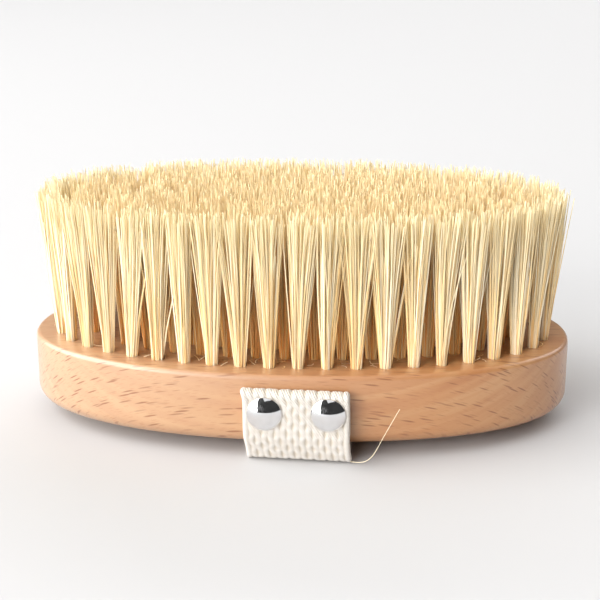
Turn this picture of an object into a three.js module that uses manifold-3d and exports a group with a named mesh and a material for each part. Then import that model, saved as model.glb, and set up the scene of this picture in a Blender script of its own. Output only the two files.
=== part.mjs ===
// Oval body dry brush with a webbing hand strap, standing bristles up on its strap.
// Millimetres, +Z up. The origin is on the table, under the middle of the brush.
// +X runs along the brush, and -Y is its front.

import * as THREE from "three";
import { mergeVertices } from "three/addons/utils/BufferGeometryUtils.js";
import Module from "manifold-3d";

const wasm = await Module();
wasm.setup();

// ---- Driving dimensions ----

// Wooden back: one oval block, with a full round below and a small one above.
const backLength = 136;
const backWidth = 73;
const backThickness = 17.6;
const outlinePower = 2.18; // 2 is an ellipse, and a larger power is squarer
const underEdgeRadius = 4;
const topEdgeRadius = 1.2;

// Hand strap: one strip of cotton webbing under the back, its ends folded under and nailed.
const strapWidth = 25;
const strapThickness = 1.6;
const strapOffset = 1.7; // along +X from the middle of the back
const strapSlack = 1.75; // loose height between the webbing and the back
const hemAboveNail = 5.8;
const hemBelowNail = 5.7;
const strapTuck = 2.4; // how far the webbing draws inwards between its hem and the table
const strapFoot = 2.5; // flat length that each nailed end has on the table

// Dome nails: a stamped cap on a pointed shank, two in each end of the strap.
const nailCapDiameter = 8.5;
const nailCapHeight = 2;
const nailCapWall = 0.7;
const nailShankDiameter = 1.6;
const nailPointLength = 2.5;
const nailGrip = 9; // length of shank inside the wood
const nailSpacing = 14.8;
const nailWeb = 0.8; // wood left between a nail and the tuft holes above it

// Tufts: bristles folded in half and drawn into blind holes, in rings that follow the outline.
const bristleHeight = 36.9; // above the wood
const tuftsInRing = [44, 37, 31, 24, 18]; // from the outer ring to the inner one
const tuftMargin = 6; // from the outline to the middle of the outer ring
const innerRingHalfWidth = 3.3;
const endSpare = 1.3; // extra room between the rings at their ends, where they turn sharply
const ringShift = 1.5; // how far every ring starts to the right of the front's middle
const tuftHoleRadius = 1.55;
const tuftHoleDepth = 6.2;
const tipLean = 1.4; // how far the outer ring's tips lean outwards
const tipGap = 0.8; // free space between the tips of neighbouring rings
const tipOverlap = 0.4; // how far the tips of one inner ring grow into each other

// Clearance between pieces that touch.
const gap = 0.3;

// Fineness of the faceted shapes.
const outlineSides = 80;
const underEdgeSteps = 4;
const topEdgeSteps = 2;
const tuftSides = 6;
const nailSides = 12;
const capSteps = 4;
const curvePoints = 96;

// ---- Sizes that follow from them ----

const backBottom = strapThickness + strapSlack;
const backTop = backBottom + backThickness;
const tipsHeight = backTop + bristleHeight;
const ringCount = tuftsInRing.length;
const ringStep = (backWidth / 2 - tuftMargin - innerRingHalfWidth) / (ringCount - 1);
const outerRing = ovalCurve(backLength / 2 - tuftMargin, backWidth / 2 - tuftMargin);
const tuftPitch = outerRing.getLength() / tuftsInRing[0];
const ringEndStep = tuftPitch + endSpare;
const nailShankRadius = nailShankDiameter / 2;
const pilotRadius = nailShankRadius + gap;
const nailHeight = backTop - tuftHoleDepth - nailWeb - pilotRadius;
const hemInside = backWidth / 2 + gap;
const hemOutside = hemInside + 2 * strapThickness;
const hemTop = nailHeight + hemAboveNail;
const hemBottom = nailHeight - hemBelowNail;
const bendOutside = hemOutside - strapTuck;
const footEnd = bendOutside - strapThickness - strapFoot;

// ---- Materials ----

const beech = new THREE.MeshStandardMaterial({ color: 0xdca87a, roughness: 0.5 });
const bristle = new THREE.MeshStandardMaterial({ color: 0xe8d49a, roughness: 0.6 });
const cotton = new THREE.MeshStandardMaterial({ color: 0xefeae0, roughness: 0.95 });
const chrome = new THREE.MeshStandardMaterial({ color: 0xd8dade, roughness: 0.08, metalness: 1 });

// ---- Helpers ----

function part(name, geometry, material) {
  const mesh = new THREE.Mesh(geometry, material);
  mesh.name = name;
  return mesh;
}

// A closed geometry as a solid that can be joined and cut.
function solid(geometry) {
  const plain = geometry.clone();
  plain.deleteAttribute("normal");
  plain.deleteAttribute("uv");
  const merged = mergeVertices(plain, 1e-4);
  const mesh = new wasm.Mesh({
    numProp: 3,
    vertProperties: new Float32Array(merged.attributes.position.array),
    triVerts: new Uint32Array(merged.index.array),
  });
  return new wasm.Manifold(mesh);
}

function geometryOf(body) {
  const mesh = body.getMesh();
  const geometry = new THREE.BufferGeometry();
  geometry.setAttribute("position", new THREE.BufferAttribute(mesh.vertProperties, 3));
  geometry.setIndex(new THREE.BufferAttribute(mesh.triVerts, 1));
  geometry.computeVertexNormals();
  return geometry;
}

function joined(bodies) {
  return bodies.reduce((whole, body) => whole.add(body));
}

// An upright column whose levels have their own centre and rim: centre(level) and
// rim(angle, level) both give a point, and level 0 is the bottom.
function column(sides, levels, centre, rim) {
  const geometry = new THREE.CylinderGeometry(1, 1, levels, sides, levels);
  geometry.rotateX(Math.PI / 2);
  geometry.translate(0, 0, levels / 2);
  const place = geometry.attributes.position;
  for (let i = 0; i < place.count; i++) {
    const level = Math.round(place.getZ(i));
    const onRim = Math.hypot(place.getX(i), place.getY(i)) > 0.5;
    const angle = Math.atan2(place.getY(i), place.getX(i));
    const point = onRim ? rim(angle, level) : centre(level);
    place.setXYZ(i, point.x, point.y, point.z);
  }
  return geometry;
}

// The point of an oval at an angle.
function onOval(halfLength, halfWidth, angle) {
  const reach = (share) => Math.sign(share) * Math.abs(share) ** (2 / outlinePower);
  return new THREE.Vector3(
    halfLength * reach(Math.cos(angle)),
    halfWidth * reach(Math.sin(angle)),
    0,
  );
}

// An oval as a closed curve, counterclockwise from the middle of its front.
function ovalCurve(halfLength, halfWidth) {
  const points = [];
  for (let i = 0; i < curvePoints; i++) {
    points.push(onOval(halfLength, halfWidth, (i / curvePoints) * 2 * Math.PI - Math.PI / 2));
  }
  return new THREE.CatmullRomCurve3(points, true);
}

// The outward direction of an oval at one of its points.
function outwards(halfLength, halfWidth, point) {
  const slope = (size, half) => (Math.sign(size) * Math.abs(size / half) ** (outlinePower - 1)) / half;
  return new THREE.Vector3(slope(point.x, halfLength), slope(point.y, halfWidth), 0).normalize();
}

// ---- Tufts ----

// One entry for each tuft of a ring, counterclockwise from the front: its middle at the
// wood, and its outward direction, square to the line between its two neighbours.
function ringPlaces(ring) {
  const halfLength = backLength / 2 - tuftMargin - ring * ringEndStep;
  const halfWidth = backWidth / 2 - tuftMargin - ring * ringStep;
  const curve = ovalCurve(halfLength, halfWidth);
  const count = tuftsInRing[ring];
  const start = ringShift / curve.getLength() + (ring % 2) / (2 * count);
  const middles = [];
  for (let i = 0; i < count; i++) {
    middles.push(curve.getPointAt((start + i / count) % 1));
  }
  return middles.map((middle, i) => {
    const along = middles[(i + 1) % count].clone().sub(middles.at(i - 1));
    return { middle, out: new THREE.Vector3(along.y, -along.x, 0).normalize() };
  });
}

function leanOf(ring) {
  return tipLean * (1 - ring / (ringCount - 1));
}

function tipOf(place, ring) {
  return place.middle.clone().addScaledVector(place.out, leanOf(ring)).setZ(tipsHeight);
}

function alongRing(place) {
  return new THREE.Vector3(-place.out.y, place.out.x, 0);
}

// Half the distance from each tip of a ring to its nearer and to its farther neighbour.
function halfSteps(places, ring) {
  const tips = places.map((place) => tipOf(place, ring));
  return tips.map((tip, i) => {
    const before = tip.distanceTo(tips.at(i - 1)) / 2;
    const after = tip.distanceTo(tips[(i + 1) % tips.length]) / 2;
    return { near: Math.min(before, after), far: Math.max(before, after) };
  });
}

// A column with two levels, with corners outwards and inwards and flat sides towards its
// neighbours. Each level has its middle and its reach outwards and along the ring.
function tuftColumn(place, levels) {
  const flat = Math.cos(Math.PI / tuftSides); // a flat side is nearer than a corner
  const centre = (level) => levels[level].middle;
  const rim = (angle, level) =>
    centre(level)
      .clone()
      .addScaledVector(place.out, -Math.sin(angle) * levels[level].out)
      .addScaledVector(alongRing(place), (Math.cos(angle) * levels[level].along) / flat);
  return column(tuftSides, 1, centre, rim);
}

// A tuft's sides are straight. They pass its hole's mouth with a clearance, so its root
// follows from its tip: share is how far the root lies below the mouth, as a part of the
// height of the tip above it.
function tuft(place, ring, alongReach) {
  const rootLength = tuftHoleDepth - gap;
  const share = rootLength / bristleHeight;
  const mouthReach = tuftHoleRadius - gap;
  const atRoot = (tipReach) => mouthReach - share * (tipReach - mouthReach);
  const tip = { middle: tipOf(place, ring), out: (ringStep - tipGap) / 2, along: alongReach };
  const root = { out: atRoot(tip.out), along: atRoot(tip.along) };
  root.middle = place.middle.clone().addScaledVector(place.out, -share * leanOf(ring));
  root.middle.setZ(backTop - rootLength);
  return tuftColumn(place, [root, tip]);
}

function tuftHole(place) {
  const reach = { out: tuftHoleRadius, along: tuftHoleRadius };
  const bottom = { middle: place.middle.clone().setZ(backTop - tuftHoleDepth), ...reach };
  const mouth = { middle: place.middle.clone().setZ(backTop + gap), ...reach };
  return tuftColumn(place, [bottom, mouth]);
}

// The outer ring's tufts stand free, so each is its own piece.
function outerTufts() {
  const ring = new THREE.Group();
  const places = ringPlaces(0);
  const halves = halfSteps(places, 0);
  places.forEach((place, i) => {
    const number = String(i + 1).padStart(2, "0");
    const shape = tuft(place, 0, halves[i].near - tipGap / 2);
    ring.add(part(`outer_tuft_${number}`, shape, bristle));
  });
  return ring;
}

// The bristles of an inner ring's tufts grow into each other at their tips, as one row.
function innerRing(ring) {
  const places = ringPlaces(ring);
  const halves = halfSteps(places, ring);
  const tufts = places.map((place, i) => solid(tuft(place, ring, halves[i].far + tipOverlap)));
  return part(`tuft_ring_${ring + 1}`, geometryOf(joined(tufts)), bristle);
}

// ---- Wooden back ----

// Height and inset of the rounded edge, from the underside to the top.
function edgeLevels() {
  const levels = [];
  for (let i = 0; i <= underEdgeSteps; i++) {
    const turn = ((i / underEdgeSteps) * Math.PI) / 2;
    const height = backBottom + underEdgeRadius * (1 - Math.cos(turn));
    levels.push({ height, inset: underEdgeRadius * (1 - Math.sin(turn)) });
  }
  for (let i = 0; i <= topEdgeSteps; i++) {
    const turn = ((i / topEdgeSteps) * Math.PI) / 2;
    const height = backTop - topEdgeRadius * (1 - Math.sin(turn));
    levels.push({ height, inset: topEdgeRadius * (1 - Math.cos(turn)) });
  }
  return levels;
}

function pilotHole(x, side) {
  const hole = new THREE.CylinderGeometry(pilotRadius, pilotRadius, nailGrip + 2 * gap, nailSides);
  hole.translate(x, side * (backWidth / 2 - nailGrip / 2), nailHeight);
  return hole;
}

function woodenBack() {
  const levels = edgeLevels();
  const centre = (level) => new THREE.Vector3(0, 0, levels[level].height);
  const rim = (angle, level) => {
    const point = onOval(backLength / 2, backWidth / 2, angle);
    const out = outwards(backLength / 2, backWidth / 2, point);
    return point.addScaledVector(out, -levels[level].inset).setZ(levels[level].height);
  };
  let body = solid(column(outlineSides, levels.length - 1, centre, rim));
  for (let ring = 0; ring < ringCount; ring++) {
    for (const place of ringPlaces(ring)) {
      body = body.subtract(solid(tuftHole(place)));
    }
  }
  for (const side of [-1, 1]) {
    for (const along of [-1, 1]) {
      const x = strapOffset + (along * nailSpacing) / 2;
      body = body.subtract(solid(pilotHole(x, side)));
    }
  }
  return part("wooden_back", geometryOf(body), beech);
}

// ---- Hand strap ----

// A nailed end of the strap, drawn outwards along +Y: the folded hem against the wood,
// the webbing drawing in below it, the bend, and a short flat on the table.
function strapEnd() {
  const outline = new THREE.Shape();
  outline.moveTo(footEnd, 0);
  outline.lineTo(bendOutside - strapThickness, 0);
  outline.absarc(bendOutside - strapThickness, strapThickness, strapThickness, -Math.PI / 2, 0);
  outline.lineTo(hemOutside, hemBottom);
  outline.absarc(hemInside + strapThickness, hemTop - strapThickness, strapThickness, 0, Math.PI);
  outline.lineTo(hemInside, hemBottom);
  outline.lineTo(hemOutside - strapThickness, hemBottom);
  outline.lineTo(bendOutside - strapThickness, strapThickness);
  outline.lineTo(footEnd, strapThickness);
  const settings = { depth: strapWidth, bevelEnabled: false, curveSegments: 4 };
  const strip = new THREE.ExtrudeGeometry(outline, settings);
  strip.translate(0, 0, -strapWidth / 2);
  // The outline's first axis turns to +Y, its second to +Z, and the width to +X.
  const turn = new THREE.Matrix4().makeBasis(
    new THREE.Vector3(0, 1, 0),
    new THREE.Vector3(0, 0, 1),
    new THREE.Vector3(1, 0, 0),
  );
  let body = solid(strip.applyMatrix4(turn));
  for (const along of [-1, 1]) {
    const hole = new THREE.CylinderGeometry(pilotRadius, pilotRadius, 4 * strapThickness, nailSides);
    hole.translate((along * nailSpacing) / 2, hemOutside - strapThickness, nailHeight);
    body = body.subtract(solid(hole));
  }
  return geometryOf(body);
}

// A dome nail along +Y: its hollow cap outside the hem, its shank through it into the wood.
function domeNail() {
  const capRadius = nailCapDiameter / 2;
  const domeRadius = (capRadius ** 2 + nailCapHeight ** 2) / (2 * nailCapHeight);
  const rim = hemOutside + gap;
  const domeMiddle = rim + nailCapHeight - domeRadius;
  const innerRadius = domeRadius - nailCapWall;
  const point = backWidth / 2 - nailGrip;
  const onDome = (radius, angle) =>
    new THREE.Vector2(radius * Math.sin(angle), domeMiddle + radius * Math.cos(angle));
  const outerTurn = Math.acos((rim - domeMiddle) / domeRadius);
  const innerTurn = Math.acos((rim - domeMiddle) / innerRadius);
  const shankTurn = Math.asin(nailShankRadius / innerRadius);
  const profile = [];
  profile.push(new THREE.Vector2(0, point));
  profile.push(new THREE.Vector2(nailShankRadius, point + nailPointLength));
  for (let i = 0; i <= capSteps; i++) {
    profile.push(onDome(innerRadius, shankTurn + (i / capSteps) * (innerTurn - shankTurn)));
  }
  for (let i = capSteps; i >= 0; i--) {
    profile.push(onDome(domeRadius, (i / capSteps) * outerTurn));
  }
  profile[profile.length - 1].x = 0;
  return new THREE.LatheGeometry(profile, nailSides);
}

// One side of the brush: a strap end and its two nails. They are drawn towards +Y, and
// the front side is turned half round.
function nailedSide(name, turn) {
  const side = new THREE.Group();
  side.position.x = strapOffset;
  side.rotation.z = turn;
  side.add(part(`strap_${name}_end`, strapEnd(), cotton));
  for (const [place, along] of [["left", -1], ["right", 1]]) {
    const nail = part(`${name}_nail_${place}`, domeNail(), chrome);
    nail.position.set((along * Math.cos(turn) * nailSpacing) / 2, 0, nailHeight);
    side.add(nail);
  }
  return side;
}

// The stretch of webbing under the back, which a hand pulls away from it.
function strapSpan() {
  const length = 2 * (footEnd - gap);
  const span = part("strap_span", new THREE.BoxGeometry(strapWidth, length, strapThickness), cotton);
  span.position.set(strapOffset, 0, strapThickness / 2);
  return span;
}

// ---- The brush ----

const brush = new THREE.Group();
brush.add(woodenBack());
brush.add(outerTufts());
for (let ring = 1; ring < ringCount; ring++) {
  brush.add(innerRing(ring));
}
brush.add(nailedSide("front", Math.PI));
brush.add(nailedSide("rear", 0));
brush.add(strapSpan());

export default brush;
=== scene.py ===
# %% [markdown]
# # An oval body dry brush
#
# The brush is a block of beech with rings of drilled holes. A tuft of stiff plant-fibre
# bristle is folded into each hole, and a strip of cotton webbing is nailed across the back
# to slip a hand under. It stands bristles up, on the webbing.
#
# The sizes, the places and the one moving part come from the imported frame. What is made
# here is the surface: rounded wood with its grain, single bristles, real webbing and
# polished nails. Every piece is in metres and keeps its place in its own mesh.

# %% Load the frame
import math

import bpy
import numpy as np
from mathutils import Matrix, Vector


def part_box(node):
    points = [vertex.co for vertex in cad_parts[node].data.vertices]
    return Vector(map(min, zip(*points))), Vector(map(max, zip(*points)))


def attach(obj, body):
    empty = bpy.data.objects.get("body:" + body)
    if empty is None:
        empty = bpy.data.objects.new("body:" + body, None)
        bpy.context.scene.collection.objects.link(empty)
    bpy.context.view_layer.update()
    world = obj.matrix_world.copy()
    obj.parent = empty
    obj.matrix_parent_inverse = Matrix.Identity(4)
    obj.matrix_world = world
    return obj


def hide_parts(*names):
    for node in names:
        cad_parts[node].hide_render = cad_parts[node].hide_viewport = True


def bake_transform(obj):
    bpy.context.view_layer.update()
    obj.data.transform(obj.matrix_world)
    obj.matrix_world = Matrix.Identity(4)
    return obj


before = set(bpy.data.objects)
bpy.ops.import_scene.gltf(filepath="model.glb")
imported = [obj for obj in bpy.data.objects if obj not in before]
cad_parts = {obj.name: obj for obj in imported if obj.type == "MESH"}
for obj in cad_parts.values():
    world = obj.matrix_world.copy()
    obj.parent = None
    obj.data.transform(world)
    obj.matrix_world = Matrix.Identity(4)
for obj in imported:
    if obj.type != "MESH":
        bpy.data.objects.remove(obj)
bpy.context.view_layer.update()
MM = 0.001
NEAR = 0.05 * MM  # how close two places are when they count as the same
rng = np.random.default_rng(11)

# %% [markdown]
# ## Reading sizes from the frame
#
# A size that is read from a CAD piece can't drift away from it. The wood's box gives the
# oval and its thickness. The webbing's box gives its width and thickness, and the corners
# of its mesh give the hem and the bend.

# %% Sizes of the wood and the webbing
wood_low, wood_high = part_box("wooden_back")
HALF_LENGTH = wood_high.x
HALF_WIDTH = wood_high.y
WOOD_BOTTOM = wood_low.z
WOOD_TOP = wood_high.z
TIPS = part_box("outer_tuft_01")[1].z

end_low, end_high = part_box("strap_rear_end")
span_low, span_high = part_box("strap_span")
STRAP_MIDDLE = (end_low.x + end_high.x) / 2
STRAP_WIDTH = end_high.x - end_low.x
STRAP_THICK = span_high.z
HEM_TOP = end_high.z
HEM_OUTSIDE = end_high.y
HEM_INSIDE = HEM_OUTSIDE - 2 * STRAP_THICK


def corners(node):
    """The points of a CAD node as an array of rows."""
    return np.array([v.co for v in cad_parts[node].data.vertices])


end_points = corners("strap_rear_end")
HEM_BOTTOM = end_points[abs(end_points[:, 1] - HEM_INSIDE) < NEAR][:, 2].min()
print("wood", round(2 * HALF_LENGTH / MM, 1), round(2 * HALF_WIDTH / MM, 1))
print("hem from", round(HEM_BOTTOM / MM, 2), "to", round(HEM_TOP / MM, 2), "mm high")

# %% [markdown]
# ## Camera
#
# A product view from the front: a long lens a third of a metre away, about 17 degrees
# above the table and 4 degrees round to the right. The far distance keeps the oval's
# perspective gentle. Only the distance changes the perspective; the lens sets the size.

# %% Camera
CAMERA_DISTANCE = 350.66 * MM
CAMERA_HEIGHT_ANGLE = math.radians(17.23)
CAMERA_ROUND_ANGLE = math.radians(3.89)
LOOKS_AT = Vector((-0.11 * MM, 0, 28.2 * MM))
FRAME_PIXELS = 600
LENS_PIXELS = 1370.64

camera_data = bpy.data.cameras.new("camera")
camera_data.sensor_width = 36
camera_data.lens = LENS_PIXELS / FRAME_PIXELS * camera_data.sensor_width
camera_data.clip_start = 0.01
camera = bpy.data.objects.new("camera", camera_data)
bpy.context.scene.collection.objects.link(camera)
away = Vector((
    math.sin(CAMERA_ROUND_ANGLE) * math.cos(CAMERA_HEIGHT_ANGLE),
    -math.cos(CAMERA_ROUND_ANGLE) * math.cos(CAMERA_HEIGHT_ANGLE),
    math.sin(CAMERA_HEIGHT_ANGLE),
))
camera.location = LOOKS_AT + CAMERA_DISTANCE * away
camera.rotation_euler = away.to_track_quat("Z", "Y").to_euler()
bpy.context.scene.camera = camera
print("lens", round(camera_data.lens, 1), "mm")

# %% [markdown]
# ## Small tools
#
# Blender's operators act on whatever is selected, so each step starts by selecting one
# object, and then the points, edges or faces that it changes, found by their place.

# %% Selecting in code


def only(obj):
    """Makes obj the one selected and active object."""
    bpy.ops.object.select_all(action="DESELECT")
    obj.select_set(True)
    bpy.context.view_layer.objects.active = obj


def named(name):
    """Names the object that was just added, and puts its place into its mesh."""
    obj = bpy.context.active_object
    obj.name = name
    obj.data.name = name
    only(obj)
    bpy.ops.object.transform_apply(location=True, rotation=True, scale=True)
    return obj


def pick_edges(obj, test):
    """Goes into edit mode with just the edges selected whose two ends both pass test."""
    only(obj)
    bpy.ops.object.mode_set(mode="EDIT")
    bpy.ops.mesh.select_mode(type="EDGE")
    bpy.ops.mesh.select_all(action="DESELECT")
    bpy.ops.object.mode_set(mode="OBJECT")
    mesh = obj.data
    for edge in mesh.edges:
        edge.select = all(test(mesh.vertices[i].co) for i in edge.vertices)
    bpy.ops.object.mode_set(mode="EDIT")


def apply_modifier(obj, kind, **settings):
    """Adds a modifier with these settings and applies it."""
    only(obj)
    modifier = obj.modifiers.new(kind.lower(), kind)
    for name, value in settings.items():
        setattr(modifier, name, value)
    bpy.ops.object.modifier_apply(modifier=modifier.name)


def joined(objects, name):
    """Joins several objects into one with this name."""
    bpy.ops.object.select_all(action="DESELECT")
    for obj in objects:
        obj.select_set(True)
    bpy.context.view_layer.objects.active = objects[0]
    bpy.ops.object.join()
    objects[0].name = name
    objects[0].data.name = name
    return objects[0]


def faces_of(obj):
    """How many triangles an object's faces make."""
    return sum(len(face.vertices) - 2 for face in obj.data.polygons)


# %% [markdown]
# ## Material tools
#
# Each finish is a Principled shader with a few texture nodes in front of it. The tools
# below add a node, wire it and set it, so that a material reads as a short recipe.

# %% Building materials


class Recipe:
    """A material whose nodes are added one after another."""

    def __init__(self, name):
        self.material = bpy.data.materials.new(name)
        self.material.use_nodes = True
        self.tree = self.material.node_tree
        self.shader = self.tree.nodes["Principled BSDF"]
        self.place = self.add("ShaderNodeTexCoord").outputs["Object"]

    def add(self, kind, **inputs):
        """Adds a node. Each input is a number, a colour or another node's output."""
        node = self.tree.nodes.new(kind)
        for name, value in inputs.items():
            self.put(node.inputs[name.replace("_", " ")], value)
        return node

    def put(self, socket, value):
        if isinstance(value, bpy.types.NodeSocket):
            self.tree.links.new(value, socket)
        else:
            socket.default_value = value

    def sized(self, scale, turn=(0, 0, 0), source=None):
        """Object coordinates, turned and scaled: scale is in features per metre."""
        node = self.add("ShaderNodeMapping", Vector=source or self.place, Scale=scale)
        node.inputs["Rotation"].default_value = turn
        return node.outputs["Vector"]

    def noise(self, place, detail=2.0, scale=1.0, roughness=0.5, distortion=0.0):
        node = self.add("ShaderNodeTexNoise", Vector=place, Scale=scale, Detail=detail,
                        Roughness=roughness, Distortion=distortion)
        return node.outputs["Fac"]

    def steps(self, value, *stops):
        """A ramp. Each stop is a position and a grey number or a colour."""
        node = self.add("ShaderNodeValToRGB", Fac=value)
        ramp = node.color_ramp
        while len(ramp.elements) < len(stops):
            ramp.elements.new(0.5)
        for element, (position, colour) in zip(ramp.elements, stops):
            element.position = position
            if not hasattr(colour, "__len__"):
                colour = (colour, colour, colour)
            element.color = (*colour, 1)
        return node.outputs["Color"]

    def mix(self, share, first, second, how="MIX"):
        node = self.tree.nodes.new("ShaderNodeMix")
        node.data_type = "RGBA"
        node.blend_type = how
        self.put(node.inputs["Factor"], share)
        for socket, value in ((node.inputs["A"], first), (node.inputs["B"], second)):
            if isinstance(value, tuple):
                value = (*value, 1)
            self.put(socket, value)
        return node.outputs["Result"]

    def sum(self, how, first, second):
        node = self.tree.nodes.new("ShaderNodeMath")
        node.operation = how
        self.put(node.inputs[0], first)
        self.put(node.inputs[1], second)
        return node.outputs[0]

    def bump(self, height, depth, strength=1.0, normal=None):
        node = self.add("ShaderNodeBump", Height=height, Distance=depth, Strength=strength)
        if normal:
            self.put(node.inputs["Normal"], normal)
        return node.outputs["Normal"]

    def finish(self, **inputs):
        for name, value in inputs.items():
            self.put(self.shader.inputs[name.replace("_", " ")], value)
        return self.material


def rgb(red, green, blue):
    """A colour as a colour picker shows it, turned to the linear values that shaders use."""
    def linear(value):
        value /= 255
        return value / 12.92 if value <= 0.04045 else ((value + 0.055) / 1.055) ** 2.4

    return (linear(red), linear(green), linear(blue))


def dress(obj, material):
    obj.data.materials.clear()
    obj.data.materials.append(material)


# %% [markdown]
# ## Beech
#
# Beech is pale pinkish brown. It has soft bands of growth and, over them, thousands of
# short dark dashes: the rays, which are thin flat plates that stand in the wood. A solid
# texture does this: cells that are long in the grain and thin across it show as dashes, as
# if cut from one block. Oil over a fine sanding gives it a satin coat. The left end is
# painted paler: painted light, for the window that shines on that end of the board.


# %% Beech material
RAY_TILT = math.radians(45)
BOARD = 2 * HALF_LENGTH


def beech():
    wood = Recipe("beech_oiled")
    # The rays lean in the wood, and the growth bands lie square to them.
    leaning = wood.sized((1, 1, 1), (RAY_TILT, 0, 0))
    wavy = wood.noise(wood.sized((14, 90, 30), source=leaning), detail=2)
    bands = wood.noise(wood.sized((9, 420, 50), source=leaning), detail=3, distortion=0.4)
    tone = wood.steps(bands, (0.30, rgb(178, 117, 70)), (0.50, rgb(189, 132, 83)),
                      (0.70, rgb(196, 146, 98)))
    tone = wood.mix(wood.steps(wavy, (0.35, 0.0), (0.7, 0.5)), tone, rgb(200, 155, 110))
    # Painted light: the left end of the board, which faces the window, is painted paler.
    ends = wood.add("ShaderNodeSeparateXYZ", Vector=wood.sized((1 / BOARD, 1 / BOARD, 1 / BOARD)))
    painted_window_light = wood.steps(wood.sum("ADD", ends.outputs["X"], 0.5), (0.06, 0.45), (0.75, 0.0))
    tone = wood.mix(painted_window_light, tone, rgb(196, 172, 146))
    # Rays: thin plates, of which only the darkest middles show.
    cells = wood.add("ShaderNodeTexVoronoi", Vector=wood.sized((140, 190, 1800), source=leaning),
                     Scale=1.0, Randomness=1.0)
    rays = wood.steps(cells.outputs["Distance"], (0.18, 1.0), (0.33, 0.0))
    some = wood.steps(wood.noise(wood.sized((90, 160, 500), source=leaning), detail=1),
                      (0.38, 0.15), (0.56, 1.0))
    rays = wood.sum("MULTIPLY", rays, some)
    small = wood.add("ShaderNodeTexVoronoi", Vector=wood.sized((330, 460, 3300), source=leaning),
                     Scale=1.0, Randomness=1.0)
    small_rays = wood.steps(small.outputs["Distance"], (0.16, 0.6), (0.36, 0.0))
    tone = wood.mix(wood.sum("MULTIPLY", rays, 0.75), tone, rgb(130, 76, 42))
    tone = wood.mix(wood.sum("MULTIPLY", small_rays, 0.5), tone, rgb(168, 106, 64))
    # Pores: the finest streaks along the grain.
    pores = wood.noise(wood.sized((420, 6500, 6500)), detail=3, roughness=0.7)
    tone = wood.mix(wood.steps(pores, (0.50, 0.0), (0.78, 0.30)), tone, rgb(182, 126, 84))
    dents = wood.sum("ADD", wood.sum("MULTIPLY", rays, -0.6), wood.sum("MULTIPLY", pores, -0.5))
    return wood.finish(
        Base_Color=tone,
        Roughness=wood.steps(pores, (0.2, 0.34), (0.8, 0.5)),
        Specular_IOR_Level=0.6,
        Coat_Weight=0.8,
        Coat_Roughness=0.26,
        Normal=wood.bump(dents, 0.05 * MM, 0.3),
    )


BEECH = beech()

# %% [markdown]
# ## The wooden back
#
# It is sawn as an oval from a board, drilled, and rounded over: a large round on the side
# that the palm holds and a small one on the bristle side. Here a cylinder is stretched to
# the oval, its two rims are bevelled with those radii, and the holes are cut by a boolean.
# The holes come last, as on the real one, so the rounding doesn't have to avoid them.

# %% Oval block
OUTLINE_POWER = 2.18
UNDER_EDGE = 4.0 * MM
TOP_EDGE = 1.2 * MM


def oval_point(half_length, half_width, angle):
    """A point of an oval that is a little squarer than an ellipse."""
    def reach(share):
        return math.copysign(abs(share) ** (2 / OUTLINE_POWER), share)

    return half_length * reach(math.cos(angle)), half_width * reach(math.sin(angle))


bpy.ops.object.select_all(action="DESELECT")
bpy.ops.mesh.primitive_cylinder_add(
    vertices=240, radius=1, depth=WOOD_TOP - WOOD_BOTTOM, end_fill_type="NGON",
    location=(0, 0, (WOOD_TOP + WOOD_BOTTOM) / 2),
)
back = named("beech_back")
for vertex in back.data.vertices:
    angle = math.atan2(vertex.co.y, vertex.co.x)
    vertex.co.x, vertex.co.y = oval_point(HALF_LENGTH, HALF_WIDTH, angle)

for height, radius, segments in ((WOOD_BOTTOM, UNDER_EDGE, 10), (WOOD_TOP, TOP_EDGE, 5)):
    pick_edges(back, lambda point: abs(point.z - height) < NEAR)
    bpy.ops.mesh.bevel(offset=radius, offset_type="OFFSET", segments=segments, profile=0.5,
                       affect="EDGES", clamp_overlap=False)
    bpy.ops.object.mode_set(mode="OBJECT")
print("block", len(back.data.polygons), "faces")

# %% [markdown]
# ## Where the tufts stand
#
# The frame's tuft pieces end in a small flat root in each hole. The lowest points of a
# piece, gathered into groups, give the middle of every hole without a table of places.
# Going round a ring in order, the line between a tuft's two neighbours gives the direction
# along the ring, and the direction square to it points outwards.

# %% Places of the tufts
OUTER_TUFTS = sorted(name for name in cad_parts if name.startswith("outer_tuft_"))
INNER_RINGS = sorted(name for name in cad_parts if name.startswith("tuft_ring_"))
HOLE_SPACING = 2.6 * MM
ROOT_FLAT = 0.01 * MM  # the points of a root's flat end are this level


def roots_of(node):
    """The middle of each of a node's roots."""
    points = corners(node)
    low = points[points[:, 2] < points[:, 2].min() + ROOT_FLAT]
    groups = []
    for point in low:
        near = [g for g in groups if np.linalg.norm(g[0] - point) < HOLE_SPACING]
        if near:
            near[0].append(point)
        else:
            groups.append([point])
    return [np.mean(np.unique(np.round(g, 6), axis=0), axis=0) for g in groups]


def ring_order(roots):
    """The roots of a ring, counterclockwise."""
    half_length = max(abs(r[0]) for r in roots)
    half_width = max(abs(r[1]) for r in roots)
    return sorted(roots, key=lambda r: math.atan2(r[1] / half_width, r[0] / half_length))


def ring_of(roots):
    """A tuft for each root: its middle, and its directions outwards and along the ring."""
    roots = ring_order(roots)
    tufts = []
    for i, root in enumerate(roots):
        along = roots[(i + 1) % len(roots)] - roots[i - 1]
        along = along[:2] / np.linalg.norm(along[:2])
        step = np.linalg.norm(roots[(i + 1) % len(roots)] - root)
        tufts.append({"middle": root[:2], "out": np.array([along[1], -along[0]]),
                      "along": along, "step": step})
    return tufts


outer_roots = {name: roots_of(name)[0] for name in OUTER_TUFTS}
rings = [ring_of(list(outer_roots.values()))]
rings += [ring_of(roots_of(name)) for name in INNER_RINGS]
ROOT_HEIGHT = float(outer_roots[OUTER_TUFTS[0]][2])
print("tufts in each ring", [len(ring) for ring in rings])

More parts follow.
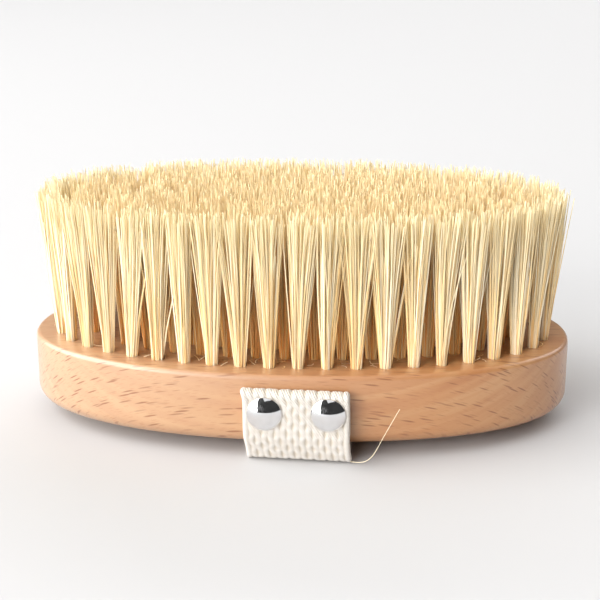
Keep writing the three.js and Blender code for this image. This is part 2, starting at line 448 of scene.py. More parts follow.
# %% Drill the holes
HOLE_RADIUS = 1.5 * MM
HOLE_FLOOR = ROOT_HEIGHT - 0.3 * MM
DRILL_SPARE = 1 * MM  # the drill starts this far above the wood

drills = []
for ring in rings:
    for tuft in ring:
        bpy.ops.mesh.primitive_cylinder_add(
            vertices=16, radius=HOLE_RADIUS, depth=WOOD_TOP - HOLE_FLOOR + DRILL_SPARE,
            location=(*tuft["middle"], (WOOD_TOP + HOLE_FLOOR + DRILL_SPARE) / 2),
        )
        drills.append(bpy.context.active_object)
drill = joined(drills, "drill")
apply_modifier(back, "BOOLEAN", operation="DIFFERENCE", object=drill, solver="EXACT")
bpy.data.objects.remove(drill)
only(back)
bpy.ops.object.shade_smooth_by_angle(angle=math.radians(30))
dress(back, BEECH)
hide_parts("wooden_back")
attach(back, "brush")
print("drilled back", faces_of(back), "triangles")

# %% [markdown]
# ## Bristle
#
# The bristle is a stiff plant fibre, cream near the tip, and each fibre has its own shade.
# The deeper gold towards the root, and the golden shades that the inner rings get more of,
# are painted light: the glow of light that bounces between the fibres deep in the brush.
# Two numbers are stored on the mesh for this, how far up a point is and the shade of its
# fibre, and the material reads them.


# %% Bristle material
def bristle():
    fibre = Recipe("plant_bristle")
    height = fibre.add("ShaderNodeAttribute")
    height.attribute_name = "height"
    shade = fibre.add("ShaderNodeAttribute")
    shade.attribute_name = "shade"
    # Painted light: the deeper gold low down stands for the glow of light that bounces between the
    # fibres.
    tone = fibre.steps(height.outputs["Fac"], (0.0, rgb(255, 197, 116)), (0.3, rgb(255, 222, 154)),
                       (0.65, rgb(255, 238, 194)), (1.0, rgb(240, 226, 186)))
    # Painted light: the golden shades below about a third go only to the inner rings, for the glow
    # deep in the brush. Above that it is each fibre's own tone.
    own_tone_and_glow = fibre.steps(shade.outputs["Fac"], (0.0, rgb(252, 156, 52)), (0.3, rgb(255, 212, 134)),
                      (0.6, rgb(255, 240, 200)), (1.0, rgb(255, 252, 236)))
    streak = fibre.noise(fibre.sized((4000, 4000, 300)), detail=2)
    # Near the tips a fibre's own shade counts for less, so the tips are a common cream, and each
    # fibre's own tone and the painted golden glow of the inner fibres show lower down.
    tone = fibre.mix(fibre.steps(height.outputs["Fac"], (0.55, 0.75), (0.95, 0.15)), tone, own_tone_and_glow)
    tone = fibre.mix(fibre.steps(streak, (0.4, 0.0), (0.8, 0.25)), tone, rgb(244, 208, 146))
    return fibre.finish(
        Base_Color=tone,
        Roughness=fibre.steps(streak, (0.2, 0.34), (0.8, 0.5)),
        Specular_IOR_Level=0.75,
        Sheen_Weight=0.45,
        Sheen_Roughness=0.45,
        Sheen_Tint=(1.0, 0.86, 0.6, 1),
    )


BRISTLE = bristle()

# %% [markdown]
# ## One bristle, and then thousands
#
# A single bristle is a three-sided column with a few levels, so that it can bend. It is
# modelled once. Each bristle of a tuft is a copy of its points, laid along its own path
# from the bottom of the hole through the mouth to the tip. Thousands of objects would be
# slow, so the copies of one tuft or ring are written into one mesh.

# %% One bristle
LEVELS = np.array([0.0, 0.14, 0.38, 0.62, 0.84, 1.0])  # share of a bristle's whole length

bpy.ops.object.select_all(action="DESELECT")
bpy.ops.mesh.primitive_cylinder_add(vertices=3, radius=1, depth=1, location=(0, 0, 0.5))
pattern = named("bristle_pattern")
pick_edges(pattern, lambda point: False)  # nothing yet: only the upright edges are cut
bpy.ops.object.mode_set(mode="OBJECT")
for edge in pattern.data.edges:
    ends = [pattern.data.vertices[i].co.z for i in edge.vertices]
    edge.select = abs(ends[0] - ends[1]) > 0.5
bpy.ops.object.mode_set(mode="EDIT")
bpy.ops.mesh.subdivide(number_cuts=len(LEVELS) - 2)
bpy.ops.object.mode_set(mode="OBJECT")
PATTERN_POINTS = np.array([v.co for v in pattern.data.vertices])
PATTERN_LEVEL = np.rint(PATTERN_POINTS[:, 2] * (len(LEVELS) - 1)).astype(int)
PATTERN_FACES = [list(face.vertices) for face in pattern.data.polygons]
bpy.data.objects.remove(pattern)
print("one bristle has", len(PATTERN_FACES), "faces")

# %% Bristle paths
BRISTLES_IN_TUFT = 108
MOUTH_RADIUS = 1.32 * MM
ANCHOR_GAP = 0.25 * MM
TIP_LEAN = 1.4 * MM
TIP_OUT = 3.1 * MM
INNER_TIP_OUT = 3.7 * MM
SHEAF = 1.25  # above 1, the fibres stay together at first and part higher up
WIDTH = 0.19 * MM  # from the middle of a fibre to its corners
TUFT_SPREAD = (0.85, 1.15)
ROOT_SHARE = 0.62  # how narrow a tuft is at the bottom of its hole
STEP_SHARE = 0.58  # how far along the ring it reaches, in steps between tufts
TUFT_LEAN = 0.3 * MM  # how differently the tufts lean outwards
TUFT_SWAY = 0.75 * MM  # and along the ring
TIP_SCATTER = 0.55 * MM
STRAYS = 0.07  # share of the fibres
STRAY_SCATTER = 1.7 * MM
SHORT_ONES = 0.06  # share of the fibres
SHORT_BY = (1, 9)  # mm
TRIM = (-2.3, 0.6)  # mm, how unevenly the tips are trimmed
BOW = 0.3 * MM


def paths(tuft, ring_number):
    """The paths of one tuft's bristles, as bristles by levels by three."""
    count = BRISTLES_IN_TUFT
    lean = TIP_LEAN * (1 - ring_number / (len(rings) - 1)) + rng.normal(0, TUFT_LEAN)
    sway = rng.normal(0, TUFT_SWAY)
    spread = rng.uniform(*TUFT_SPREAD)
    far = np.sqrt(rng.random(count))
    turn = rng.random(count) * 2 * math.pi
    side = np.stack([far * np.cos(turn), far * np.sin(turn)], axis=1)
    # The doubled bundle straddles its anchor, so no fibre starts in the middle.
    root = side * ROOT_SHARE * MOUTH_RADIUS
    root[:, 0] += np.sign(root[:, 0]) * ANCHOR_GAP
    mouth = side * MOUTH_RADIUS
    tip_out = INNER_TIP_OUT if ring_number else TIP_OUT
    tip = side * np.array([tip_out, tuft["step"] * STEP_SHARE * spread])
    tip += rng.normal(0, TIP_SCATTER, (count, 2))
    stray = rng.random(count) < STRAYS
    tip[stray] += rng.normal(0, STRAY_SCATTER, (stray.sum(), 2))
    tip += np.array([lean, sway])
    bow = rng.normal(0, BOW, (count, 2))
    height = TIPS - WOOD_TOP + rng.uniform(*TRIM, count) * MM
    short = rng.random(count) < SHORT_ONES
    height[short] -= rng.uniform(*SHORT_BY, short.sum()) * MM
    rise = (LEVELS[1:] - LEVELS[1]) / (1 - LEVELS[1])
    flat = [root]
    tall = [np.full(count, ROOT_HEIGHT)]
    for share in rise:
        flat.append(mouth + (tip - mouth) * share**SHEAF + bow * 4 * share * (1 - share))
        tall.append(WOOD_TOP + height * share)
    flat = np.stack(flat, axis=1)
    tall = np.stack(tall, axis=1)
    place = tuft["middle"] + flat[..., :1] * tuft["out"] + flat[..., 1:] * tuft["along"]
    return np.concatenate([place, tall[..., None]], axis=2)


THINNER = 1 - 0.45 * LEVELS  # a fibre tapers towards its tip
WIDTH_RANGE = (0.75, 1.2)
OUTER_SHADES = (0.32, 1.0)  # from golden to pale
# Painted light: the inner rings get the golden shades, for the glow of light bouncing between the
# fibres deep in the brush.
INNER_PAINTED_GLOW_SHADES = (0.0, 0.5)


def bristle_mesh(name, lines, shade_range=OUTER_SHADES):
    """One mesh with a bristle along each of these lines, each with a shade in this range."""
    count = len(lines)
    width = WIDTH * rng.uniform(*WIDTH_RANGE, count)
    size = width[:, None] * THINNER[PATTERN_LEVEL]
    turn = rng.random(count) * 2 * math.pi
    x, y = PATTERN_POINTS[:, 0], PATTERN_POINTS[:, 1]
    points = lines[:, PATTERN_LEVEL].copy()
    points[..., 0] += (np.cos(turn)[:, None] * x - np.sin(turn)[:, None] * y) * size
    points[..., 1] += (np.sin(turn)[:, None] * x + np.cos(turn)[:, None] * y) * size
    starts = np.arange(count) * len(PATTERN_POINTS)
    faces = [[i + start for i in face] for start in starts for face in PATTERN_FACES]
    mesh = bpy.data.meshes.new(name)
    mesh.from_pydata(points.reshape(-1, 3), [], faces)
    height = mesh.attributes.new("height", "FLOAT", "POINT")
    above = (points[..., 2] - WOOD_TOP) / (TIPS - WOOD_TOP)
    height.data.foreach_set("value", np.clip(above, 0, 1).reshape(-1).astype(np.float32))
    shade = mesh.attributes.new("shade", "FLOAT", "POINT")
    golden, pale = shade_range
    shades = np.repeat(golden + (pale - golden) * rng.random(count), len(PATTERN_POINTS))
    shade.data.foreach_set("value", shades.astype(np.float32))
    obj = bpy.data.objects.new(name, mesh)
    bpy.context.scene.collection.objects.link(obj)
    only(obj)
    bpy.ops.object.shade_smooth_by_angle(angle=math.radians(85))
    dress(obj, BRISTLE)
    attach(obj, "brush")
    return obj


# %% Plant the tufts
total = 0
for name, root in outer_roots.items():
    nearest = min(rings[0], key=lambda tuft: np.linalg.norm(tuft["middle"] - root[:2]))
    piece = bristle_mesh(name.replace("outer_tuft", "bristle_tuft"), paths(nearest, 0))
    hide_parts(name)
    total += faces_of(piece)
for number, name in enumerate(INNER_RINGS, start=1):
    lines = np.concatenate([paths(tuft, number) for tuft in rings[number]])
    # The inner rings take the golden shades: painted light between the fibres.
    piece = bristle_mesh(name.replace("tuft_ring", "bristle_ring"), lines, INNER_PAINTED_GLOW_SHADES)
    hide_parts(name)
    total += faces_of(piece)
print("bristles have", total, "triangles")

# %% [markdown]
# ## Anchors
#
# A tuft isn't glued. Its fibres are doubled over a short flat wire, and the wire is punched
# into the hole, where its ends bite into the wood. The wires can't be seen, but they are
# what holds the brush together, so each hole gets one: a small bar with rounded corners.

# %% Tuft anchors
ANCHOR = (2.9 * MM, 0.35 * MM, 1.3 * MM)
ANCHOR_ROUND = 0.08 * MM

bpy.ops.object.select_all(action="DESELECT")
bpy.ops.mesh.primitive_cube_add(size=1, scale=ANCHOR)
anchor = named("anchor")
apply_modifier(anchor, "BEVEL", width=ANCHOR_ROUND, segments=2)
anchors = []
for ring in rings:
    for tuft in ring:
        copy = anchor.copy()
        copy.data = anchor.data.copy()
        bpy.context.scene.collection.objects.link(copy)
        copy.location = (*tuft["middle"], ROOT_HEIGHT + ANCHOR[2] / 2)
        copy.rotation_euler.z = math.atan2(tuft["along"][1], tuft["along"][0])
        anchors.append(copy)
bpy.data.objects.remove(anchor)
anchors = joined(anchors, "tuft_anchors")
bpy.ops.object.transform_apply(location=True, rotation=True, scale=True)
wire = Recipe("anchor_wire")
dull = wire.noise(wire.sized((900, 900, 900)), detail=3)
dress(anchors, wire.finish(Base_Color=(0.42, 0.41, 0.39, 1), Metallic=1.0,
                           Roughness=wire.steps(dull, (0.3, 0.3), (0.7, 0.55))))
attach(anchors, "brush")
print("anchors", faces_of(anchors), "triangles")

# %% [markdown]
# ## Cotton webbing
#
# The strap is one length of heavy cotton webbing. Its yarns run lengthwise in pairs that
# lean together and apart, which makes rows of small links with a hollow in each, and a
# plain rolled edge keeps each side from fraying. The light catches the yarns, so they are
# real shape here: a fine grid is raised where a yarn passes and left low in the hollows.


# %% Cotton material
def cotton():
    cloth = Recipe("cotton_webbing")
    flat = cloth.add("ShaderNodeTexCoord").outputs["UV"]
    raised = cloth.add("ShaderNodeAttribute")
    raised.attribute_name = "raised"
    # The yarns are two threads twisted together, so fine slanted lines run over them.
    lines = cloth.add("ShaderNodeTexWave", Vector=cloth.sized((25, 66, 1), (0, 0, 0.6), flat),
                      Scale=0.65, Distortion=1.5, Detail=2.0)
    fuzz = cloth.noise(cloth.sized((5200, 5200, 5200)), detail=3, roughness=0.7)
    # Painted shade: the hollows between the yarns are coloured darker, for the shade that falls in
    # them.
    shade = cloth.steps(raised.outputs["Fac"], (0.0, rgb(210, 198, 181)), (0.45, rgb(222, 213, 201)),
                        (0.9, rgb(232, 226, 218)))
    patchy = cloth.noise(cloth.sized((260, 260, 260)), detail=2)
    shade = cloth.mix(cloth.steps(patchy, (0.35, 0.0), (0.7, 0.3)), shade, rgb(224, 212, 196))
    height = cloth.sum("ADD", lines.outputs["Fac"], fuzz)
    return cloth.finish(
        Base_Color=shade,
        Roughness=cloth.steps(fuzz, (0.2, 0.82), (0.8, 1.0)),
        Specular_IOR_Level=0.2,
        Sheen_Weight=0.25,
        Sheen_Roughness=0.5,
        Normal=cloth.bump(height, 0.16 * MM, 0.8),
    )


COTTON = cotton()

# %% [markdown]
# ## The path of the strap
#
# Webbing bends but hardly stretches, so it is described as a walk: go up behind the hem,
# turn over, come down the front, lean inwards, turn under the brush and run along the
# table to the middle. The slanting stretch is as long as it takes to reach the table.

# %% Walk along the webbing
WALK_STEP = 0.05 * MM
LEAN_IN = 23.4  # degrees
LEAN_IN_BEND = 2.6 * MM
UNDER_BEND = 2.4 * MM


def walk(steps, start, heading=90):
    """Places and headings along a path. Each step is a length and how far it turns, in degrees."""
    heading = math.radians(heading)
    places, headings = [np.array(start)], [heading]
    for length, turn in steps:
        count = max(1, round(length / WALK_STEP))
        for _ in range(count):
            heading += math.radians(turn) / count / 2
            ahead = np.array([math.cos(heading), math.sin(heading)])
            places.append(places[-1] + length / count * ahead)
            heading += math.radians(turn) / count / 2
            headings.append(heading)
    return np.array(places), np.array(headings)


half_thick = STRAP_THICK / 2
flap = HEM_TOP - STRAP_THICK - HEM_BOTTOM
hem = [(flap, 0), (math.pi * half_thick, -180), (flap - LEAN_IN_BEND / 2, 0), (LEAN_IN_BEND, -LEAN_IN)]
under = (UNDER_BEND, LEAN_IN - 90)
hem_start = (HEM_INSIDE + half_thick, HEM_BOTTOM)
drop = walk([*hem, under], hem_start)[0][-1][1] - half_thick
slant = drop / math.cos(math.radians(LEAN_IN))
reach = walk([*hem, (slant, 0), under], hem_start)[0][-1][0]
strap_walk = [*hem, (slant, 0), under, (reach, 0)]
path_places, path_headings = walk(strap_walk, hem_start)
PATH_LENGTH = sum(length for length, _ in strap_walk)
FOLD_AT = flap + math.pi * half_thick / 2
BEND_AT = PATH_LENGTH - reach - UNDER_BEND / 2
path_along = np.concatenate([[0], np.cumsum(np.linalg.norm(np.diff(path_places, axis=0), axis=1))])
print("half the webbing is", round(PATH_LENGTH / MM, 1), "mm long")

# %% [markdown]
# ## Weaving it
#
# The flat webbing is a grid with a thickness. Each yarn is a wave across the width, and
# neighbours are mirror images, so they meet and part in turn. The height of a point comes
# from the nearest yarn: a round top, lower where the yarn dives under.

# %% Weave
YARNS = 15
SELVEDGE = 1.35 * MM
YARN_SWING = 0.27 * MM
LINK_LENGTH = 4.0 * MM
HOLLOW = 0.31 * MM
EDGE_ROLL = 0.75 * MM
COLUMNS = 132
ROWS = 270
YARN_WANDER = 0.05 * MM  # how far a yarn drifts sideways, drawn at this many points
WANDER_POINTS = 24
YARN_SLIP = 0.05  # how far its links run ahead or behind, in links
SLIP_POINTS = 9
CROWN, CROWN_WAVE = 0.84, 0.16  # height of a yarn, and its rise and dip along a link
LOOP, LOOP_WAVE = 0.9, 0.1  # the same for the edge
EDGE_OVERLAP = 1.2  # the edge's round is this much wider than its strip

yarn_pitch = (STRAP_WIDTH - 2 * SELVEDGE) / YARNS
YARN_RADIUS = 0.52 * yarn_pitch
yarn_wander = rng.normal(0, YARN_WANDER, (YARNS, WANDER_POINTS))
yarn_slip = rng.normal(0, YARN_SLIP, (YARNS, SLIP_POINTS))


def weave(across, to_middle):
    """How high the webbing stands at a place, from 0 in a hollow to 1 on top of a yarn."""
    share = to_middle / PATH_LENGTH
    wander_places, slip_places = np.linspace(0, 1, WANDER_POINTS), np.linspace(0, 1, SLIP_POINTS)
    high = np.zeros_like(across)
    for yarn in range(YARNS):
        middle = (yarn - (YARNS - 1) / 2) * yarn_pitch
        wander = np.interp(share, wander_places, yarn_wander[yarn])
        slip = np.interp(share, slip_places, yarn_slip[yarn]) * np.minimum(share * 20, 1)
        phase = 2 * math.pi * (to_middle / LINK_LENGTH + slip)
        swing = (-1) ** yarn * YARN_SWING * np.cos(phase)
        away = np.clip(abs(across - middle - wander - swing) / YARN_RADIUS, 0, 1)
        crown = CROWN - CROWN_WAVE * np.cos(2 * phase)
        high = np.maximum(high, np.sqrt(1 - away**2) * crown)
    edge = STRAP_WIDTH / 2 - SELVEDGE / 2
    away = np.clip(abs(abs(across) - edge) / (SELVEDGE / 2 * EDGE_OVERLAP), 0, 1)
    loops = LOOP + LOOP_WAVE * np.cos(2 * math.pi * to_middle / (LINK_LENGTH / 3))
    return np.maximum(high, np.sqrt(1 - away**2) * loops)


print("yarns stand", round(yarn_pitch / MM, 2), "mm apart")

# %% [markdown]
# ## Folding it into place
#
# The flat mesh keeps its width and is bent along the walk. Real webbing is never quite
# straight, so its edges drift a little, the hem swells between the nails, and a corner of
# the fold sticks out.

# %% Strap halves
NAIL_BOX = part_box("front_nail_left")
NAIL_HEIGHT = (NAIL_BOX[0].z + NAIL_BOX[1].z) / 2
NAIL_RADIUS = (NAIL_BOX[1].x - NAIL_BOX[0].x) / 2
NAIL_PLACES = [(sum(c.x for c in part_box(f"front_nail_{side}")) / 2) for side in ("left", "right")]
SWELL = 0.5 * MM
SWELL_LENGTH = 9 * MM
SWELL_INSIDE = 0.5  # share of it on the inner face
NAIL_PRESS = 1.12  # a nail presses the webbing flat this far out, in cap radii
SKEW = 0.5 * MM
SKEW_LENGTH = 5 * MM
EDGE_CLOSES = 0.96  # below 1, so that the two faces never quite meet
# Drift of an edge: how far in mm, where along the webbing, and over what length.
LEFT_DRIFT = ((-0.6, FOLD_AT, 1.6 * MM), (0.55, BEND_AT - 1 * MM, 4 * MM))
RIGHT_DRIFT = ((0.45, BEND_AT, 3 * MM), (-0.15, FOLD_AT, 5 * MM))


def bell(value, middle, width):
    return np.exp(-(((value - middle) / width) ** 2))


def strap_half(name, side, nodes):
    """Half of the strap. Side is -1 at the front and 1 at the back."""
    bpy.ops.object.select_all(action="DESELECT")
    bpy.ops.mesh.primitive_grid_add(x_subdivisions=COLUMNS, y_subdivisions=ROWS, size=1)
    half = named(name)
    apply_modifier(half, "SOLIDIFY", thickness=0.1, offset=0)
    flat = np.array([v.co for v in half.data.vertices])
    across = flat[:, 0] * STRAP_WIDTH
    along = (flat[:, 1] + 0.5) * PATH_LENGTH
    face = np.sign(flat[:, 2])
    high = weave(across, PATH_LENGTH - along)
    # The edges are rolled: the faces close on each other in a round.
    past = np.clip((abs(across) - (STRAP_WIDTH / 2 - EDGE_ROLL)) / EDGE_ROLL, 0, 1)
    up = face * (half_thick - HOLLOW * (1 - high)) * np.sqrt(1 - past**2 * EDGE_CLOSES)
    # Drift of the edges, the corner that sticks out, and the swollen hem.
    left = sum(far * bell(along, middle, length) for far, middle, length in LEFT_DRIFT)
    right = sum(far * bell(along, middle, length) for far, middle, length in RIGHT_DRIFT)
    share = across / STRAP_WIDTH + 0.5
    drift = (left * (1 - share) + right * share) * MM
    place = np.stack([np.interp(along, path_along, path_places[:, i]) for i in range(2)], axis=1)
    heading = np.interp(along, path_along, path_headings)
    normal = np.stack([-np.sin(heading), np.cos(heading)], axis=1)
    in_front = along > FOLD_AT
    swell = SWELL * bell(along, (FOLD_AT + BEND_AT) / 2 - 1.5 * MM, SWELL_LENGTH) * in_front
    for nail in NAIL_PLACES:
        near = np.hypot(across + STRAP_MIDDLE - nail, place[:, 1] - NAIL_HEIGHT)
        swell *= 1 - np.exp(-((near / (NAIL_RADIUS * NAIL_PRESS)) ** 6))
    swell *= (STRAP_WIDTH / 2 - abs(across)) / (STRAP_WIDTH / 2) * 0.5 + 0.5
    point = place + normal * up[:, None]
    point[:, 0] += swell * (face > 0) + swell * SWELL_INSIDE * (face < 0)
    # It was nailed a little askew: the hem is lower on the right and the bend stands out.
    point[:, 1] -= SKEW * share * bell(along, FOLD_AT, SKEW_LENGTH)
    point[:, 0] += 3 * SKEW * share * bell(along, BEND_AT - 1 * MM, SKEW_LENGTH)
    points = np.stack([across + STRAP_MIDDLE + drift, side * point[:, 0], point[:, 1]], axis=1)
    half.data.vertices.foreach_set("co", points.astype(np.float32).reshape(-1))
    raised = half.data.attributes.new("raised", "FLOAT", "POINT")
    raised.data.foreach_set("value", high.astype(np.float32))
    only(half)
    bpy.ops.object.mode_set(mode="EDIT")
    bpy.ops.mesh.select_all(action="SELECT")
    bpy.ops.mesh.normals_make_consistent(inside=False)
    bpy.ops.object.mode_set(mode="OBJECT")
    bpy.ops.object.shade_smooth_by_angle(angle=math.radians(70))
    dress(half, COTTON)
    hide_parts(*nodes)
    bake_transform(half)
    return half


front_half = strap_half("webbing_front", -1, ["strap_front_end", "strap_span"])
rear_half = strap_half("webbing_rear", 1, ["strap_rear_end"])
print("webbing has", faces_of(front_half) + faces_of(rear_half), "triangles")

# %% [markdown]
# ## Dome nails
#
# Upholstery nails hold the hem: a thin domed cap of plated steel with a shank through its
# middle. One nail is made, standing on its point, and copied to its four places. The cap
# is part of a sphere, cut off flat and given a wall, so its edge has a real thickness.


# %% Chrome material
def chrome():
    plate = Recipe("polished_chrome")
    scratches = plate.noise(plate.sized((900, 5200, 900), (0.4, 0.3, 0.2)), detail=3, roughness=0.7)
    haze = plate.noise(plate.sized((420, 420, 420)), detail=3)
    return plate.finish(
        Base_Color=plate.steps(haze, (0.35, (0.80, 0.80, 0.81)), (0.65, (0.88, 0.88, 0.89))),
        Metallic=1.0,
        Roughness=plate.steps(haze, (0.35, 0.05), (0.7, 0.12)),
        Normal=plate.bump(scratches, 0.01 * MM, 0.12),
    )


CHROME = chrome()

# %% One nail
CAP_WALL = 0.7 * MM
CAP_EDGE = 0.22 * MM
RIM_BAND = 0.25 * MM  # the rim is picked within this height
CAP_GAP = 0.3 * MM  # between the cap and the hem under it
POINT_SHARPNESS = 0.08  # width of the tip, as a share of the shank's
SHANK_RADIUS = 0.8 * MM
POINT_LENGTH = 2.5 * MM

CAP_HEIGHT = -NAIL_BOX[0].y - (HEM_OUTSIDE + CAP_GAP)
NAIL_LENGTH = NAIL_BOX[1].y - NAIL_BOX[0].y
ball_radius = (NAIL_RADIUS**2 + CAP_HEIGHT**2) / (2 * CAP_HEIGHT)

bpy.ops.object.select_all(action="DESELECT")
bpy.ops.mesh.primitive_uv_sphere_add(segments=72, ring_count=72, radius=ball_radius,
                                     location=(0, 0, CAP_HEIGHT - ball_radius))
nail = named("dome_nail")
bpy.ops.object.mode_set(mode="EDIT")
bpy.ops.mesh.select_all(action="SELECT")
bpy.ops.mesh.bisect(plane_co=(0, 0, 0), plane_no=(0, 0, 1), clear_inner=True)
bpy.ops.object.mode_set(mode="OBJECT")
apply_modifier(nail, "SOLIDIFY", thickness=CAP_WALL, offset=-1)
pick_edges(nail, lambda point: abs(point.z) < RIM_BAND
           and math.hypot(point.x, point.y) > NAIL_RADIUS - NEAR)
bpy.ops.mesh.bevel(offset=CAP_EDGE, segments=4, profile=0.5, affect="EDGES")
bpy.ops.object.mode_set(mode="OBJECT")

shank_top = CAP_HEIGHT - CAP_WALL / 2
shank_end = CAP_HEIGHT - NAIL_LENGTH + POINT_LENGTH
bpy.ops.object.select_all(action="DESELECT")
bpy.ops.mesh.primitive_cylinder_add(vertices=20, radius=SHANK_RADIUS, depth=shank_top - shank_end,
                                    location=(0, 0, (shank_top + shank_end) / 2))
shank = named("shank")
bpy.ops.object.mode_set(mode="EDIT")
bpy.ops.mesh.select_mode(type="FACE")
bpy.ops.mesh.select_all(action="DESELECT")
bpy.ops.object.mode_set(mode="OBJECT")
for face in shank.data.polygons:
    face.select = face.normal.z < -0.9
bpy.ops.object.mode_set(mode="EDIT")
bpy.ops.mesh.extrude_region_move(TRANSFORM_OT_translate={"value": (0, 0, -POINT_LENGTH)})
bpy.ops.transform.resize(value=(POINT_SHARPNESS, POINT_SHARPNESS, 1))
bpy.ops.object.mode_set(mode="OBJECT")
apply_modifier(nail, "BOOLEAN", operation="UNION", object=shank, solver="EXACT")
bpy.data.objects.remove(shank)
only(nail)
bpy.ops.object.shade_smooth_by_angle(angle=math.radians(35))
dress(nail, CHROME)
print("a nail has", faces_of(nail), "triangles")

# %% Four nails
for end, side in (("front", -1), ("rear", 1)):
    for place in ("left", "right"):
        node = f"{end}_nail_{place}"
        low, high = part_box(node)
        bpy.ops.object.select_all(action="DESELECT")
        copy = nail.copy()
        copy.data = nail.data.copy()
        bpy.context.scene.collection.objects.link(copy)
        copy.name = f"dome_nail_{end}_{place}"
        copy.location = ((low.x + high.x) / 2, side * (HEM_OUTSIDE + CAP_GAP), (low.z + high.z) / 2)
        copy.rotation_euler = (-side * math.pi / 2, 0, 0)
        only(copy)
        bpy.ops.object.transform_apply(location=True, rotation=True, scale=True)
        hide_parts(node)
        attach(copy, "brush")
bpy.data.objects.remove(nail)

# %% [markdown]
# ## A loose bristle and some chaff
#
# A new brush sheds. One long bristle has come loose and is caught under the strap, and
# short broken bits lie among the first tufts. The long one is a curve with a round
# section, made into a mesh. The bits are the same one bristle again, cut short and curled.

# %% Loose bristle
LOOSE_ROUTE = [  # mm
    (13.0, -37.2, 0.5), (16.2, -38.6, 0.3), (18.9, -39.4, 1.4),
    (20.6, -39.5, 4.6), (22.6, -39.1, 8.8), (25.6, -38.4, 14.2),
]
LOOSE_RADIUS = 0.1 * MM

bpy.ops.object.select_all(action="DESELECT")
bpy.ops.curve.primitive_nurbs_path_add()
loose = bpy.context.active_object
spline = loose.data.splines[0]
spline.points.add(len(LOOSE_ROUTE) - len(spline.points))
for i, (point, place) in enumerate(zip(spline.points, LOOSE_ROUTE)):
    point.co = (*(value * MM for value in place), 1)
    point.radius = 1 - 0.4 * i / (len(LOOSE_ROUTE) - 1)
spline.order_u = 4
spline.use_endpoint_u = True
loose.data.dimensions = "3D"
loose.data.bevel_depth = LOOSE_RADIUS
loose.data.bevel_resolution = 1
loose.data.use_fill_caps = True
only(loose)
bpy.ops.object.convert(target="MESH")
loose = named("loose_bristle")
for name, value in (("height", 0.8), ("shade", 0.9)):
    values = np.full(len(loose.data.vertices), value, np.float32)
    loose.data.attributes.new(name, "FLOAT", "POINT").data.foreach_set("value", values)
dress(loose, BRISTLE)
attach(loose, "brush")
print("loose bristle", faces_of(loose), "triangles")

# %% Chaff
BITS = 46
BIT_LENGTH = (1.5 * MM, 4.5 * MM)
BIT_LIFT = 0.25 * MM
BIT_OUT = (-4.5, 0.5)  # mm outwards from the middle of a tuft
BIT_CURL = 1.6
BIT_RISE = 0.5  # the steepest rises this much for each step along


def chaff_paths():
    """Short curled bits that lie on the wood beside the outer tufts."""
    near = rng.integers(0, len(rings[0]), BITS)
    middle = np.array([rings[0][i]["middle"] for i in near])
    out = np.array([rings[0][i]["out"] for i in near])
    along = np.array([rings[0][i]["along"] for i in near])
    start = middle + out * rng.uniform(*BIT_OUT, (BITS, 1)) * MM
    start += along * (np.array([rings[0][i]["step"] for i in near]) / 2)[:, None]
    turn = rng.uniform(0, 2 * math.pi, BITS)
    curl = rng.normal(0, BIT_CURL, BITS)
    length = rng.uniform(*BIT_LENGTH, BITS)
    lift = rng.uniform(0, BIT_RISE, BITS) ** 2
    places = [np.column_stack([start, np.full(BITS, WOOD_TOP + BIT_LIFT)])]
    for step in np.diff(LEVELS):
        turn = turn + curl * step
        ahead = np.column_stack([np.cos(turn), np.sin(turn), lift])
        places.append(places[-1] + ahead * (step * length)[:, None])
    return np.stack(places, axis=1)


chaff = bristle_mesh("bristle_chaff", chaff_paths())
print("chaff", faces_of(chaff), "triangles")

# %% [markdown]
# ## Studio
#
# A large white table runs far behind the brush, so it is the background too. A tall window
# light and a panel beside it stand on the left, a bright one fills from the front, and
# others hang above, at the right and behind. The one behind lights the table and isn't
# reflected. A further panel is seen only in gloss and makes the left of the wood shine.
# Chrome shows the whole room, so a dark card stands in front on the right. Only
# reflections see it, and it gives the domes their dark patch. A round wall that only the
# camera sees stands behind the table, for views from low down.

# %% Floor and lights
FLOOR_SIZE = 12
bpy.ops.object.select_all(action="DESELECT")
bpy.ops.mesh.primitive_plane_add(size=FLOOR_SIZE)
floor = named("floor")
paper = Recipe("white_paper")
dress(floor, paper.finish(Base_Color=(0.615, 0.61, 0.61, 1), Roughness=0.95, Specular_IOR_Level=0.1))


def softbox(name, turn, rise, distance, size, brightness, aim=(0, 0, 0)):
    """A soft light. Its angles, in degrees, are from the front and from the table."""
    turn, rise = math.radians(turn), math.radians(rise)
    place = distance * Vector((math.sin(turn) * math.cos(rise), -math.cos(turn) * math.cos(rise),
                               math.sin(rise)))
    data = bpy.data.lights.new(name, "AREA")
    data.shape = "RECTANGLE"
    data.size, data.size_y = size
    data.energy = brightness * math.pi * size[0] * size[1]
    light = bpy.data.objects.new(name, data)
    bpy.context.scene.collection.objects.link(light)
    light.location = place
    light.rotation_euler = (place - Vector(aim)).to_track_quat("Z", "Y").to_euler()
    return light


softbox("window", -62, 34, 2.0, (2.4, 2.5), 3.4)
softbox("window_side", -99, 33, 2.0, (1.6, 2.4), 1.3)
softbox("overhead", 25, 74, 1.6, (0.9, 0.9), 0.9)
softbox("front_fill", -28, 18, 2.6, (1.7, 1.2), 6.8)
softbox("right_rim", 125, 40, 2.0, (1.4, 1.2), 2.6)
background_light = softbox("background_light", 180, 32, 3.2, (3.0, 1.4), 4.2, (0, 1.6, 0))
background_light.visible_glossy = False
window_shine = softbox("window_shine", -78, 34, 2.05, (3.4, 2.5), 2.6)
window_shine.visible_diffuse = False

# %% Round wall
WALL_RADIUS = 3.7
WALL_HEIGHT = 6
WALL_GLOW = 0.9

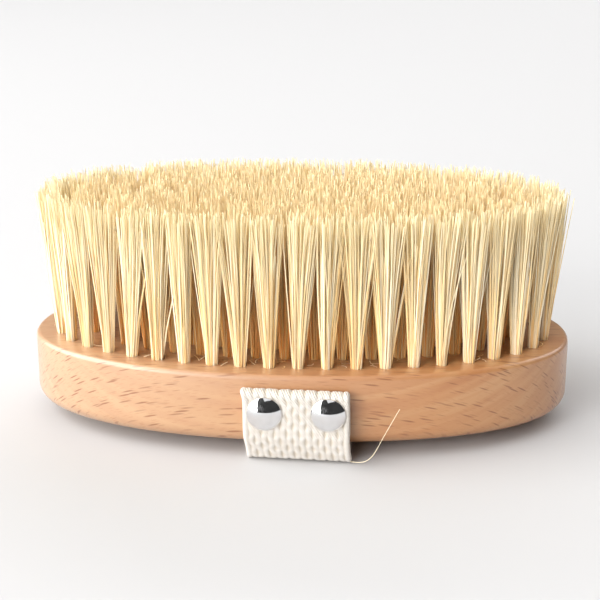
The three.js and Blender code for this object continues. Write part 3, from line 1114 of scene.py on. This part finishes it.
bpy.ops.object.select_all(action="DESELECT")
bpy.ops.mesh.primitive_cylinder_add(vertices=96, radius=WALL_RADIUS, depth=WALL_HEIGHT,
                                    end_fill_type="NOTHING", location=(0, 0, WALL_HEIGHT / 2))
wall = named("studio_wall")
pale = Recipe("wall_paint")
dress(wall, pale.finish(Base_Color=(0, 0, 0, 1), Roughness=1.0, Specular_IOR_Level=0.0,
                        Emission_Color=(WALL_GLOW, WALL_GLOW, WALL_GLOW, 1), Emission_Strength=1.0))
# Only the camera sees the wall, so it changes neither the light nor the reflections.
for kind in ("diffuse", "glossy", "transmission", "shadow", "volume_scatter"):
    setattr(wall, f"visible_{kind}", False)

# %% Dark card
CARD_DISTANCE = 2
CARD_BOTTOM = 0.03
CARD_EDGES = ((-34, 1, 0.3), (115, -1, 0.0))  # degrees, the side that stays, the lean
ROOM_LIGHT = 0.12

bpy.ops.object.select_all(action="DESELECT")
bpy.ops.mesh.primitive_uv_sphere_add(segments=48, ring_count=24, radius=CARD_DISTANCE)
card = named("dark_card")
bpy.ops.object.mode_set(mode="EDIT")
bpy.ops.mesh.select_all(action="SELECT")
bpy.ops.mesh.bisect(plane_co=(0, 0, CARD_BOTTOM), plane_no=(0, 0, 1), clear_inner=True)
for edge, keeps, leans in CARD_EDGES:
    angle = math.radians(edge)
    bpy.ops.mesh.select_all(action="SELECT")
    bpy.ops.mesh.bisect(plane_co=(0, 0, 0), clear_inner=True,
                        plane_no=(keeps * math.cos(angle), keeps * math.sin(angle), leans))
bpy.ops.object.mode_set(mode="OBJECT")
dress(card, Recipe("black_cloth").finish(Base_Color=(0.02, 0.02, 0.02, 1), Roughness=1.0))
card.visible_camera = False
card.visible_diffuse = False
card.visible_shadow = False
card.visible_transmission = False
print("dark card", len(card.data.polygons), "faces")

world = bpy.data.worlds.new("studio")
bpy.context.scene.world = world
world.use_nodes = True
world.node_tree.nodes["Background"].inputs["Color"].default_value = (1, 1, 1, 1)
world.node_tree.nodes["Background"].inputs["Strength"].default_value = ROOM_LIGHT
bpy.context.scene.view_settings.view_transform = "Standard"
